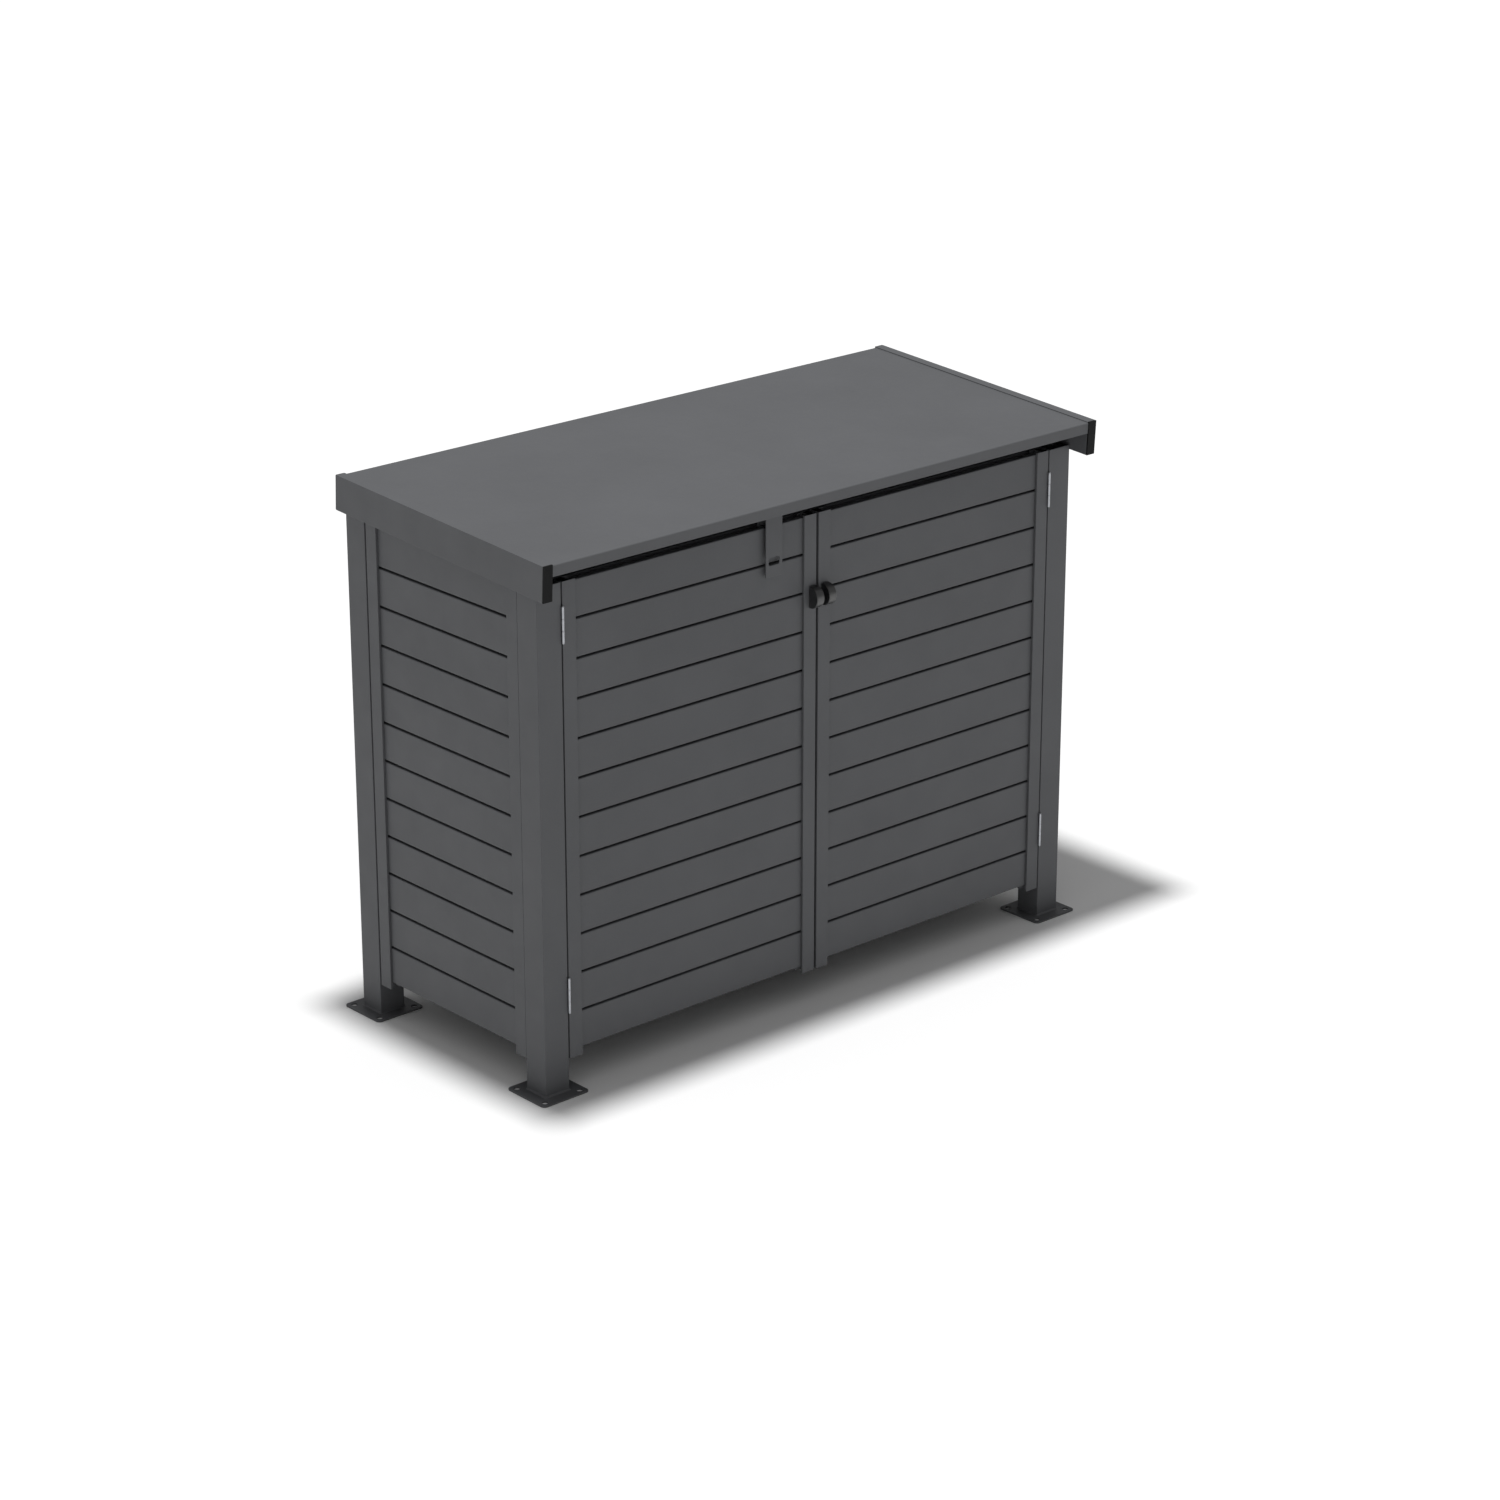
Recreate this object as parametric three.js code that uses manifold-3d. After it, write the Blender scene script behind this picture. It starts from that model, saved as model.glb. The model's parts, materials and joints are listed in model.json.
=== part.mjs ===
// A slatted aluminium store for wheeled bins: four square posts on bolted base plates, fixed
// slatted panels at the sides and back, two slatted doors, and a sloping lid hinged at the back.
// Millimetres, +Z up, front towards -Y. The origin is the centre of the footprint, on the ground.
// While it is built, Y is measured from the front faces of the posts, and the whole store is
// moved at the end.

import * as THREE from 'three';
import { mergeVertices } from 'three/addons/utils/BufferGeometryUtils.js';
import Module from 'manifold-3d';

const wasm = await Module();
wasm.setup();

// ---- Driving dimensions ----

const WIDTH = 1566; // along X, over the outer faces of the posts
const DEPTH = 652; // along Y, over the outer faces of the posts
const GAP = 0.3; // left between pieces that touch
const OVERCUT = 1; // how far a cutter runs out past what it cuts
const CURVE = { turned: 16, plate: 6, slot: 4, grip: 14, gripEdge: 2 }; // segments that curves are made of

const POST = { side: 65, wall: 2.5, frontTop: 1154.5, backTop: 1218, plug: 12 };
const LID_STOP_RADIUS = 15; // of the rubber stops that the closed lid rests on
const PLATE = { side: 128, thickness: 4, corner: 10, holeRadius: 7, holeOffset: 48 };
const SLAT = { height: 84, pitch: 88.8, depth: 16, wall: 1.5, count: 12, recess: 6, bottom: 91.2 };
const STRIP = { width: 10, thickness: 2 }; // spacer strip that holds the slats' ends
const STILE = { width: 35, depth: 30, wall: 2, groove: 14, bottom: 76 };
const TOP_RAIL = { height: 40, depth: 25, wall: 2, underDoorTop: 4 };
const BACK_UPRIGHT = { width: 40, depth: 25, wall: 2 }; // behind the middle of the back slats

const SLAT_TOP = 1150; // top edge of the doors' slats
const DOOR_TOP = POST.frontTop;
const SIDE_DROP = 72.5; // from the top line of the lid's side rails to the top line of the side panels
const SIDE_BACK_GAP = 5; // between a side panel and the back post
const DOOR_GAP = 3.6; // between a door and its post, where the hinge leaves lie
const MEETING_GAP = 7; // between the two doors
const FRONT_RAIL_SETBACK = 36; // from the front faces to the rail behind the doors

const LID = {
  slope: THREE.MathUtils.degToRad(2.93),
  front: -58.4, // Y of the top front edge of its side rails
  frontTop: 1220.4, // Z of that edge
  length: 708, // along the slope
};
const LID_RAIL = { width: 24, height: 80, wall: 2, clearance: 1 };
const LID_CAP = { thickness: 4, plug: 12 };
const LID_SHEET = { thickness: 2, drop: 2.5, lip: 25, flange: 27.5 };
const STIFFENER = { height: 25, width: 40, wall: 2, fromFront: [71, 540] };

const BUTT = {
  length: 80,
  knuckles: 3,
  barrel: 3,
  pin: 1.5,
  leaf: 28,
  thickness: 1.2,
  lowest: [185.5, 1021.5], // heights of the lower ends of a door's two hinges
};
const PIANO = { knuckles: 11, barrel: 4, pin: 2, leaf: 24, thickness: 1.2, below: 31.5 };
const KNUCKLE_GAP = 0.6; // between one knuckle and the next
const PIN_PLAY = 0.3; // between a pin and its barrel
const PIN_HEAD = { radius: 2.7, thickness: 1.2 };

const GRIP = { radius: 25, stand: 4, thickness: 21, z: 967, fromEdge: 0.5, rightFromEdge: 7.5, edge: 2 };
const LOCK_PLATE = {
  centre: 651.8, // from the left face of the left post
  width: 47,
  thickness: 3,
  stand: 2, // from the door's face to the back of the plate
  bottom: 1039.5,
  top: 1180,
  backLeg: 60,
  slotWidth: 32,
  slotHeight: 18,
  slotCorner: 5,
  slotZ: 1074.5,
};
const CATCH = { width: 46, depth: 24, height: 13, fromMiddle: 12, behindDoor: 1.5 };

// ---- Places worked out from the driving dimensions ----

const LEFT = -WIDTH / 2;
const RIGHT = WIDTH / 2;
const DOOR_WIDTH = (WIDTH - 2 * POST.side - 2 * DOOR_GAP - MEETING_GAP) / 2;
const GROOVE_WIDTH = SLAT.depth + STRIP.thickness + 2 * GAP;
const HINGE_OUT = POST.side + DOOR_GAP / 2; // from a post's outer face to the door's hinge axis
const LID_HINGE = { along: LID.length + GAP + PIANO.barrel, down: -PIANO.below };
const RUN = Math.cos(LID.slope);
const RISE = Math.sin(LID.slope);
const LID_HINGE_Y = LID.front + LID_HINGE.along * RUN - LID_HINGE.down * RISE;
const LID_HINGE_Z = LID.frontTop + LID_HINGE.along * RISE + LID_HINGE.down * RUN;
const PLATE_OVERHANG = (PLATE.side - POST.side) / 2;
const MIDDLE_Y = (LID.front + DEPTH + PLATE_OVERHANG) / 2;
const STIFFENER_TOP = -LID_SHEET.drop - LID_SHEET.thickness - GAP; // down from the lid's top line

// Height of the lid's top line, the upper edges of its side rails, at a place from front to back.
function lidLine(y) {
  return LID.frontTop + (y - LID.front) * Math.tan(LID.slope);
}

// ---- Materials ----

function finish(color, roughness, metalness) {
  return new THREE.MeshStandardMaterial({ color, roughness, metalness });
}

const greyPowderCoat = () => finish(0x505254, 0.55, 0.2);
const bareSteel = () => finish(0xc4c6c8, 0.35, 0.9);
const blackPlastic = () => finish(0x18191a, 0.45, 0);

// ---- Helpers ----

const X_AXIS = new THREE.Vector3(1, 0, 0);
const Y_AXIS = new THREE.Vector3(0, 1, 0);
const Z_AXIS = new THREE.Vector3(0, 0, 1);

function addMesh(group, name, geometry, material) {
  const mesh = new THREE.Mesh(geometry, material);
  mesh.name = name;
  group.add(mesh);
  return mesh;
}

// A box given by its lowest and highest corner.
function box(low, high) {
  const size = high.map((value, axis) => value - low[axis]);
  const centre = high.map((value, axis) => (value + low[axis]) / 2);
  return new THREE.BoxGeometry(...size).translate(...centre);
}

// A cylinder that stands on the XY plane, moved up to z0.
function cylinder(radius, z0, z1) {
  const geometry = new THREE.CylinderGeometry(radius, radius, z1 - z0, CURVE.turned);
  return geometry.rotateX(Math.PI / 2).translate(0, 0, (z0 + z1) / 2);
}

// The corners of a rectangle, anticlockwise as a shape's holes must be.
function rectangle(x0, y0, x1, y1) {
  const left = Math.min(x0, x1);
  const right = Math.max(x0, x1);
  const corners = [[left, y0], [right, y0], [right, y1], [left, y1]];
  return corners.map(([x, y]) => new THREE.Vector2(x, y));
}

function roundedRectangle(width, height, radius) {
  const shape = new THREE.Shape();
  const x = width / 2 - radius;
  const y = height / 2 - radius;
  shape.absarc(x, y, radius, 0, Math.PI / 2);
  shape.absarc(-x, y, radius, Math.PI / 2, Math.PI);
  shape.absarc(-x, -y, radius, Math.PI, (3 * Math.PI) / 2);
  shape.absarc(x, -y, radius, (3 * Math.PI) / 2, 2 * Math.PI);
  return shape;
}

// A rectangular tube with open ends that runs along +Z from the XY plane.
function tube(width, height, wall, length) {
  const shape = new THREE.Shape(rectangle(-width / 2, -height / 2, width / 2, height / 2));
  const bore = rectangle(-width / 2 + wall, -height / 2 + wall, width / 2 - wall, height / 2 - wall);
  shape.holes.push(new THREE.Path(bore));
  return new THREE.ExtrudeGeometry(shape, { depth: length, bevelEnabled: false });
}

// Turns a geometry drawn along +Z so that it runs along +X. Its own X becomes Y and its own Y becomes Z.
function alongX(geometry) {
  const turn = new THREE.Matrix4().makeBasis(Y_AXIS, Z_AXIS, X_AXIS);
  return geometry.applyMatrix4(turn);
}

// Turns a symmetrical geometry drawn along +Z so that it runs along +Y, with its own Y upwards.
function alongY(geometry) {
  const turn = new THREE.Matrix4().makeBasis(X_AXIS.clone().negate(), Z_AXIS, Y_AXIS);
  return geometry.applyMatrix4(turn);
}

// A solid between x0 and x1 whose outline is a list of [y, z] points.
function prismAlongX(points, x0, x1) {
  const shape = new THREE.Shape(points.map(([y, z]) => new THREE.Vector2(y, z)));
  const geometry = new THREE.ExtrudeGeometry(shape, { depth: x1 - x0, bevelEnabled: false });
  return alongX(geometry).translate(x0, 0, 0);
}

function toSolid(geometry) {
  const bare = geometry.clone();
  bare.deleteAttribute('normal');
  bare.deleteAttribute('uv');
  const merged = mergeVertices(bare);
  const vertProperties = new Float32Array(merged.attributes.position.array);
  const triVerts = new Uint32Array(merged.index.array);
  return new wasm.Manifold(new wasm.Mesh({ numProp: 3, vertProperties, triVerts }));
}

function toGeometry(solid) {
  const mesh = solid.getMesh();
  const geometry = new THREE.BufferGeometry();
  geometry.setAttribute('position', new THREE.BufferAttribute(mesh.vertProperties, 3));
  geometry.setIndex(new THREE.BufferAttribute(mesh.triVerts, 1));
  geometry.computeVertexNormals();
  return geometry;
}

// Joins the first list of geometries into one and takes the second list away from it.
function carve(joined, removed = []) {
  let solid = toSolid(joined[0]);
  for (const geometry of joined.slice(1)) {
    solid = solid.add(toSolid(geometry));
  }
  for (const geometry of removed) {
    solid = solid.subtract(toSolid(geometry));
  }
  return toGeometry(solid);
}

// ---- Posts, base plates and plugs ----

function basePlate() {
  const shape = roundedRectangle(PLATE.side, PLATE.side, PLATE.corner);
  for (const x of [-PLATE.holeOffset, PLATE.holeOffset]) {
    for (const y of [-PLATE.holeOffset, PLATE.holeOffset]) {
      const hole = new THREE.Path();
      hole.absarc(x, y, PLATE.holeRadius, 0, 2 * Math.PI);
      shape.holes.push(hole);
    }
  }
  const options = { depth: PLATE.thickness, bevelEnabled: false, curveSegments: CURVE.plate };
  return new THREE.ExtrudeGeometry(shape, options);
}

function postPlug(top) {
  const inside = POST.side / 2 - POST.wall - GAP;
  return box([-inside, -inside, top - POST.plug], [inside, inside, top]);
}

// A rubber stop in the top of a front post. The lid's front stiffener rests on it.
function lidStop(top) {
  const y = POST.side / 2 - LID_STOP_RADIUS;
  const restHeight = lidLine(y) + (STIFFENER_TOP - STIFFENER.height) / Math.cos(LID.slope) - GAP;
  return carve([postPlug(top), cylinder(LID_STOP_RADIUS, top - POST.plug / 2, restHeight)]);
}

function corner(name, x, y, top) {
  const group = new THREE.Group();
  group.position.set(x, y, 0);
  const foot = PLATE.thickness + GAP;
  addMesh(group, `${name}_base_plate`, basePlate(), greyPowderCoat());
  const post = tube(POST.side, POST.side, POST.wall, top - foot).translate(0, 0, foot);
  addMesh(group, `${name}_post`, post, greyPowderCoat());
  return group;
}

function corners() {
  const group = new THREE.Group();
  const inset = POST.side / 2;
  for (const [hand, x] of [['left', LEFT + inset], ['right', RIGHT - inset]]) {
    const front = corner(`front_${hand}`, x, inset, POST.frontTop);
    addMesh(front, `front_${hand}_lid_stop`, lidStop(POST.frontTop), blackPlastic());
    const back = corner(`back_${hand}`, x, DEPTH - inset, POST.backTop);
    addMesh(back, `back_${hand}_post_plug`, postPlug(POST.backTop), blackPlastic());
    group.add(front, back);
  }
  return group;
}

// ---- Slatted panels ----
// A panel is drawn with its face on the XZ plane, its width along +X and its depth along +Y.

// An upright edge profile with a groove for the slats. It starts at x and the groove opens
// along +X when side is 1, along -X when side is -1.
function stile(x, side, top) {
  const outer = (STILE.depth - GROOVE_WIDTH) / 2;
  const inner = STILE.width - STILE.groove;
  const outline = [
    [0, 0],
    [STILE.width, 0],
    [STILE.width, outer],
    [inner, outer],
    [inner, outer + GROOVE_WIDTH],
    [STILE.width, outer + GROOVE_WIDTH],
    [STILE.width, STILE.depth],
    [0, STILE.depth],
  ];
  const shape = new THREE.Shape(outline.map(([u, v]) => new THREE.Vector2(x + side * u, v)));
  const far = inner - STILE.wall;
  const chamber = rectangle(x + side * STILE.wall, STILE.wall, x + side * far, STILE.depth - STILE.wall);
  shape.holes.push(new THREE.Path(chamber));
  const geometry = new THREE.ExtrudeGeometry(shape, { depth: top - STILE.bottom, bevelEnabled: false });
  return geometry.translate(0, 0, STILE.bottom);
}

// A board from x0 to x1 whose top edge may slope, with all of its long faces moved in by inset. One
// that is moved in is the space inside a hollow board, so it runs out past both ends.
function board(x0, x1, bottom, topStart, topEnd, inset) {
  const rise = (topEnd - topStart) / (x1 - x0);
  const over = inset > 0 ? OVERCUT : 0;
  const shape = new THREE.Shape([
    new THREE.Vector2(x0 - over, bottom + inset),
    new THREE.Vector2(x1 + over, bottom + inset),
    new THREE.Vector2(x1 + over, topEnd - inset + over * rise),
    new THREE.Vector2(x0 - over, topStart - inset - over * rise),
  ]);
  const geometry = new THREE.ExtrudeGeometry(shape, { depth: SLAT.depth - 2 * inset, bevelEnabled: false });
  return geometry.rotateX(Math.PI / 2).translate(0, SLAT.recess + SLAT.depth - inset, 0);
}

// The hollow slats of one panel, held at both ends by the spacer strips in the stiles' grooves.
function slats(width, topStart, topEnd) {
  const x0 = STILE.width - STILE.groove + GAP;
  const x1 = width - x0;
  const back = SLAT.recess + SLAT.depth;
  const boards = [];
  const hollows = [];
  for (let index = 0; index < SLAT.count; index += 1) {
    const bottom = SLAT.bottom + index * SLAT.pitch;
    const isTop = index === SLAT.count - 1;
    const tops = isTop ? [topStart, topEnd] : [bottom + SLAT.height, bottom + SLAT.height];
    boards.push(board(x0, x1, bottom, ...tops, 0));
    hollows.push(board(x0, x1, bottom, ...tops, SLAT.wall));
  }
  const stripTop = SLAT.bottom + (SLAT.count - 1) * SLAT.pitch + SLAT.height / 2;
  for (const x of [x0, x1 - STRIP.width]) {
    boards.push(box([x, back, SLAT.bottom], [x + STRIP.width, back + STRIP.thickness, stripTop]));
  }
  return carve(boards, hollows);
}

// Adds the two stiles and the slats of a panel, with the tops given from its start to its end.
function slattedPanel(group, names, width, stileTops, slatTops) {
  addMesh(group, names.startStile, stile(0, 1, stileTops[0]), greyPowderCoat());
  addMesh(group, names.endStile, stile(width, -1, stileTops[1]), greyPowderCoat());
  addMesh(group, names.slats, slats(width, ...slatTops), greyPowderCoat());
}

// ---- Fixed panels and top rails ----

function sidePanels() {
  const sides = new THREE.Group();
  const front = POST.side + GAP;
  const back = DEPTH - POST.side - SIDE_BACK_GAP;
  const width = back - front;
  const frontTop = lidLine(front) - SIDE_DROP;
  const backTop = lidLine(back) - SIDE_DROP;
  const backStileTop = lidLine(back - STILE.width) - SIDE_DROP;

  const left = new THREE.Group();
  left.position.set(LEFT, back, 0);
  left.rotation.z = -Math.PI / 2;
  const leftNames = {
    startStile: 'left_side_back_stile',
    endStile: 'left_side_front_stile',
    slats: 'left_side_slats',
  };
  slattedPanel(left, leftNames, width, [backStileTop, frontTop], [backTop, frontTop]);

  const right = new THREE.Group();
  right.position.set(RIGHT, front, 0);
  right.rotation.z = Math.PI / 2;
  const rightNames = {
    startStile: 'right_side_front_stile',
    endStile: 'right_side_back_stile',
    slats: 'right_side_slats',
  };
  slattedPanel(right, rightNames, width, [frontTop, backStileTop], [frontTop, backTop]);

  sides.add(left, right);
  return sides;
}

function backPanel() {
  const group = new THREE.Group();
  const inset = POST.side + GAP;
  const width = WIDTH - 2 * inset;
  const top = POST.backTop - TOP_RAIL.height - GAP;
  group.position.set(RIGHT - inset, DEPTH, 0);
  group.rotation.z = Math.PI;
  const names = { startStile: 'back_right_stile', endStile: 'back_left_stile', slats: 'back_slats' };
  slattedPanel(group, names, width, [top, top], [top, top]);

  const upright = tube(BACK_UPRIGHT.width, BACK_UPRIGHT.depth, BACK_UPRIGHT.wall, top - STILE.bottom);
  const slatBack = SLAT.recess + SLAT.depth + GAP;
  upright.translate(width / 2, slatBack + BACK_UPRIGHT.depth / 2, STILE.bottom);
  addMesh(group, 'back_upright', upright, greyPowderCoat());
  return group;
}

function topRails() {
  const group = new THREE.Group();
  const between = WIDTH - 2 * (POST.side + GAP);
  const fromFrontToBack = DEPTH - 2 * (POST.side + GAP);
  const frontTop = DOOR_TOP - TOP_RAIL.underDoorTop;

  const front = alongX(tube(TOP_RAIL.depth, TOP_RAIL.height, TOP_RAIL.wall, between));
  front.translate(-between / 2, FRONT_RAIL_SETBACK + TOP_RAIL.depth / 2, frontTop - TOP_RAIL.height / 2);
  addMesh(group, 'front_top_rail', front, greyPowderCoat());

  const back = alongX(tube(TOP_RAIL.depth, TOP_RAIL.height, TOP_RAIL.wall, between));
  const backFace = LID_HINGE_Y - PIANO.barrel - GAP;
  back.translate(-between / 2, backFace - TOP_RAIL.depth / 2, POST.backTop - TOP_RAIL.height / 2);
  addMesh(group, 'back_top_rail', back, greyPowderCoat());

  const fromSide = STILE.depth + GAP + TOP_RAIL.depth / 2;
  for (const [name, x] of [['left_top_rail', LEFT + fromSide], ['right_top_rail', RIGHT - fromSide]]) {
    const rail = alongY(tube(TOP_RAIL.depth, TOP_RAIL.height, TOP_RAIL.wall, fromFrontToBack));
    rail.translate(x, POST.side + GAP, frontTop - TOP_RAIL.height / 2);
    addMesh(group, name, rail, greyPowderCoat());
  }
  return group;
}

// ---- Hinges ----

// One leaf of a hinge. The barrel runs along +Z on the Z axis, the leaf reaches along +Y, and its
// plate lies from x = offset. The knuckles are the even ones when first is 0, else the odd ones.
function hingeLeaf(hinge, length, first, offset) {
  const pitch = length / hinge.knuckles;
  const joined = [box([offset, 0, 0], [offset + hinge.thickness, hinge.leaf, length])];
  const removed = [];
  for (let index = 0; index < hinge.knuckles; index += 1) {
    const z0 = index * pitch;
    const z1 = z0 + pitch;
    if (index % 2 === first) {
      joined.push(cylinder(hinge.barrel, z0 + KNUCKLE_GAP / 2, z1 - KNUCKLE_GAP / 2));
    } else {
      removed.push(cylinder(hinge.barrel + KNUCKLE_GAP, z0, z1));
    }
  }
  removed.push(cylinder(hinge.pin + PIN_PLAY, -OVERCUT, length + OVERCUT));
  return carve(joined, removed);
}

// A pin along +Z with a flat head outside each end of the barrel.
function hingePin(radius, length) {
  const profile = [
    [0, -PIN_HEAD.thickness],
    [PIN_HEAD.radius, -PIN_HEAD.thickness],
    [PIN_HEAD.radius, 0],
    [radius, 0],
    [radius, length],
    [PIN_HEAD.radius, length],
    [PIN_HEAD.radius, length + PIN_HEAD.thickness],
    [0, length + PIN_HEAD.thickness],
  ];
  const outline = profile.map(([r, z]) => new THREE.Vector2(r, z));
  const geometry = new THREE.LatheGeometry(outline, CURVE.turned);
  return geometry.rotateX(Math.PI / 2);
}

// The two butt hinges of a door. Side is 1 when the door lies along +X from its hinges.
function doorHinges(hand, x, side) {
  const group = new THREE.Group();
  const towardsPost = side > 0 ? -GAP - BUTT.thickness : GAP;
  const towardsDoor = side > 0 ? GAP : -GAP - BUTT.thickness;
  for (const [place, z] of [['lower', BUTT.lowest[0]], ['upper', BUTT.lowest[1]]]) {
    const hinge = new THREE.Group();
    hinge.position.set(x, -BUTT.barrel, z);
    const name = `${hand}_door_${place}_hinge`;
    addMesh(hinge, `${name}_post_leaf`, hingeLeaf(BUTT, BUTT.length, 0, towardsPost), bareSteel());
    addMesh(hinge, `${name}_door_leaf`, hingeLeaf(BUTT, BUTT.length, 1, towardsDoor), bareSteel());
    addMesh(hinge, `${name}_pin`, hingePin(BUTT.pin, BUTT.length), bareSteel());
    group.add(hinge);
  }
  return group;
}

// ---- Doors ----

// A half-round pull between x0 and x0 + thickness, standing forward from a door's face.
function grip(x0) {
  const shape = new THREE.Shape();
  shape.moveTo(0, -GRIP.radius);
  shape.lineTo(0, GRIP.radius);
  shape.absarc(-GRIP.stand, 0, GRIP.radius, Math.PI / 2, (3 * Math.PI) / 2);
  const rounding = {
    depth: GRIP.thickness - 2 * GRIP.edge,
    bevelThickness: GRIP.edge,
    bevelSize: GRIP.edge,
    bevelOffset: -GRIP.edge,
    bevelSegments: CURVE.gripEdge,
    curveSegments: CURVE.grip,
  };
  return alongX(new THREE.ExtrudeGeometry(shape, rounding)).translate(x0 + GRIP.edge, -GAP, GRIP.z);
}

// A strap for a padlock, bent over the top edge of the left door so that it stands off its face.
function lockPlate() {
  const front = -LOCK_PLATE.stand - LOCK_PLATE.thickness;
  const back = SLAT.recess + SLAT.depth + GAP;
  const t = LOCK_PLATE.thickness;
  const outline = [
    [front, LOCK_PLATE.bottom],
    [front + t, LOCK_PLATE.bottom],
    [front + t, LOCK_PLATE.top - t],
    [back, LOCK_PLATE.top - t],
    [back, LOCK_PLATE.top - LOCK_PLATE.backLeg],
    [back + t, LOCK_PLATE.top - LOCK_PLATE.backLeg],
    [back + t, LOCK_PLATE.top],
    [front, LOCK_PLATE.top],
  ];
  const middle = LEFT + LOCK_PLATE.centre;
  const strap = prismAlongX(outline, middle - LOCK_PLATE.width / 2, middle + LOCK_PLATE.width / 2);
  const slotShape = roundedRectangle(LOCK_PLATE.slotWidth, LOCK_PLATE.slotHeight, LOCK_PLATE.slotCorner);
  const cut = { depth: t + 2 * OVERCUT, bevelEnabled: false, curveSegments: CURVE.slot };
  const slot = new THREE.ExtrudeGeometry(slotShape, cut);
  alongY(slot).translate(middle, front - OVERCUT, LOCK_PLATE.slotZ);
  return carve([strap], [slot]);
}

function doors() {
  const group = new THREE.Group();
  const fromPost = POST.side + DOOR_GAP;

  const left = new THREE.Group();
  left.position.x = LEFT + fromPost;
  const leftNames = {
    startStile: 'left_door_hinge_stile',
    endStile: 'left_door_closing_stile',
    slats: 'left_door_slats',
  };
  slattedPanel(left, leftNames, DOOR_WIDTH, [DOOR_TOP, DOOR_TOP], [SLAT_TOP, SLAT_TOP]);
  addMesh(left, 'left_door_grip', grip(DOOR_WIDTH - GRIP.fromEdge - GRIP.thickness), blackPlastic());

  const right = new THREE.Group();
  right.position.x = MEETING_GAP / 2;
  const rightNames = {
    startStile: 'right_door_closing_stile',
    endStile: 'right_door_hinge_stile',
    slats: 'right_door_slats',
  };
  slattedPanel(right, rightNames, DOOR_WIDTH, [DOOR_TOP, DOOR_TOP], [SLAT_TOP, SLAT_TOP]);
  addMesh(right, 'right_door_grip', grip(GRIP.rightFromEdge), blackPlastic());

  group.add(left, right);
  addMesh(group, 'left_door_lock_plate', lockPlate(), greyPowderCoat());
  group.add(doorHinges('left', LEFT + HINGE_OUT, 1));
  group.add(doorHinges('right', RIGHT - HINGE_OUT, -1));
  return group;
}

// Magnetic catches under the front top rail. A steel strike on each closing stile meets one.
function doorCatches() {
  const group = new THREE.Group();
  const top = DOOR_TOP - TOP_RAIL.underDoorTop - TOP_RAIL.height - GAP;
  const front = STILE.depth + CATCH.behindDoor;
  for (const [hand, x] of [['left', -CATCH.fromMiddle - CATCH.width], ['right', CATCH.fromMiddle]]) {
    const body = box([x, front, top - CATCH.height], [x + CATCH.width, front + CATCH.depth, top]);
    addMesh(group, `${hand}_door_catch`, body, blackPlastic());
  }
  return group;
}

// ---- Lid ----
// Drawn flat, with Y back along the slope and Z down from the top line of its side rails, then
// tilted as one group.

function lidSheet() {
  const t = LID_SHEET.thickness;
  const top = -LID_SHEET.drop;
  const reach = WIDTH / 2 + LID_RAIL.clearance - GAP;
  const outline = [
    [t, top],
    [t, top - LID_SHEET.lip],
    [2 * t, top - LID_SHEET.lip],
    [2 * t, top - t],
    [LID.length - t, top - t],
    [LID.length - t, top - LID_SHEET.flange],
    [LID.length, top - LID_SHEET.flange],
    [LID.length, top],
  ];
  return prismAlongX(outline, -reach, reach);
}

function lidRail(middle) {
  const length = LID.length - LID_CAP.thickness - GAP;
  const rail = alongY(tube(LID_RAIL.width, LID_RAIL.height, LID_RAIL.wall, length));
  return rail.translate(middle, LID_CAP.thickness + GAP, -LID_RAIL.height / 2);
}

function lidCap(middle) {
  const half = LID_RAIL.width / 2;
  const inside = half - LID_RAIL.wall - GAP;
  const step = LID_RAIL.wall + GAP;
  const face = box([middle - half, 0, -LID_RAIL.height], [middle + half, LID_CAP.thickness, 0]);
  const plugBack = LID_CAP.thickness + LID_CAP.plug;
  const plugFront = LID_CAP.thickness / 2;
  const plug = box([middle - inside, plugFront, step - LID_RAIL.height], [middle + inside, plugBack, -step]);
  return carve([face, plug]);
}

function stiffener(fromFront) {
  const length = WIDTH + 2 * (LID_RAIL.clearance - GAP);
  const bar = alongX(tube(STIFFENER.width, STIFFENER.height, STIFFENER.wall, length));
  return bar.translate(-length / 2, fromFront + STIFFENER.width / 2, STIFFENER_TOP - STIFFENER.height / 2);
}

function lid() {
  const group = new THREE.Group();
  group.position.set(0, LID.front, LID.frontTop);
  group.rotation.x = LID.slope;
  addMesh(group, 'lid_sheet', lidSheet(), greyPowderCoat());
  const railMiddle = WIDTH / 2 + LID_RAIL.clearance + LID_RAIL.width / 2;
  for (const [hand, middle] of [['left', -railMiddle], ['right', railMiddle]]) {
    addMesh(group, `lid_${hand}_rail`, lidRail(middle), greyPowderCoat());
    addMesh(group, `lid_${hand}_rail_cap`, lidCap(middle), blackPlastic());
  }
  addMesh(group, 'lid_front_stiffener', stiffener(STIFFENER.fromFront[0]), greyPowderCoat());
  addMesh(group, 'lid_back_stiffener', stiffener(STIFFENER.fromFront[1]), greyPowderCoat());

  const length = WIDTH - 2 * (POST.side + 2 * GAP);
  const leaf = alongX(hingeLeaf(PIANO, length, 1, -PIANO.barrel));
  leaf.translate(-length / 2, LID_HINGE.along, LID_HINGE.down);
  addMesh(group, 'lid_hinge_lid_leaf', leaf, greyPowderCoat());
  return group;
}

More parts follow.
